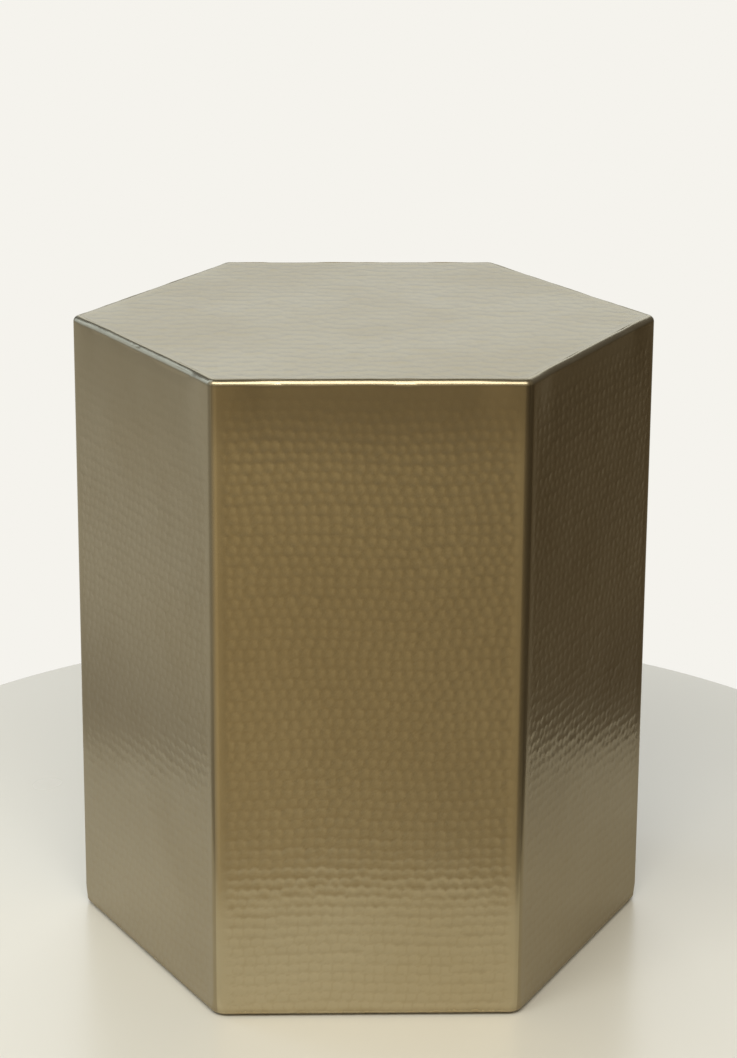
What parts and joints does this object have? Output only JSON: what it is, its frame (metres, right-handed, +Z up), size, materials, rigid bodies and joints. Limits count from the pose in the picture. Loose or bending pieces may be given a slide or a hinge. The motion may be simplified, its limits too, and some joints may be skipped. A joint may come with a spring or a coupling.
{
  "type": "hexagonal drum side table",
  "caption": "Closed six-sided drum table or stool: hammered brass sheet over a timber carcass, with rounded edges and low glides underneath.",
  "frame": {"origin": "the floor under the middle of the table", "axes": "+Z up; one flat side faces -Y, the side with the seam faces +Y, and two upright corners lie on X"},
  "size_m": [0.4148, 0.363, 0.457],
  "materials": {
    "hammered_brass": "hand-hammered, satin, antique brass lightly toned brown",
    "carcass_board": "bare fibreboard, sanded, sealed on its faces",
    "corner_timber": "bare sawn softwood",
    "screw_steel": "bright zinc-plated steel",
    "glide_nylon": "moulded, matt, scuffed where it meets the floor"
  },
  "bodies": {
    "root": {"side_sheet": "hammered_brass", "top_sheet": "hammered_brass", "top_board": "carcass_board", "base_board": "carcass_board", "side_board_front": "carcass_board", "side_board_front_right": "carcass_board", "side_board_back_right": "carcass_board", "side_board_back": "carcass_board", "side_board_back_left": "carcass_board", "side_board_front_left": "carcass_board", "corner_post_right": "corner_timber", "corner_post_back_right": "corner_timber", "corner_post_back_left": "corner_timber", "corner_post_left": "corner_timber", "corner_post_front_left": "corner_timber", "corner_post_front_right": "corner_timber", "top_screw_right": "screw_steel", "top_screw_back_right": "screw_steel", "top_screw_back_left": "screw_steel", "top_screw_left": "screw_steel", "top_screw_front_left": "screw_steel", "top_screw_front_right": "screw_steel", "base_screw_right": "screw_steel", "base_screw_back_right": "screw_steel", "base_screw_back_left": "screw_steel", "base_screw_left": "screw_steel", "base_screw_front_left": "screw_steel", "base_screw_front_right": "screw_steel", "glide_right": "glide_nylon", "glide_back_right": "glide_nylon", "glide_back_left": "glide_nylon", "glide_left": "glide_nylon", "glide_front_left": "glide_nylon", "glide_front_right": "glide_nylon", "glide_screw_right": "screw_steel", "glide_screw_back_right": "screw_steel", "glide_screw_back_left": "screw_steel", "glide_screw_left": "screw_steel", "glide_screw_front_left": "screw_steel", "glide_screw_front_right": "screw_steel"}
  },
  "joints": []
}
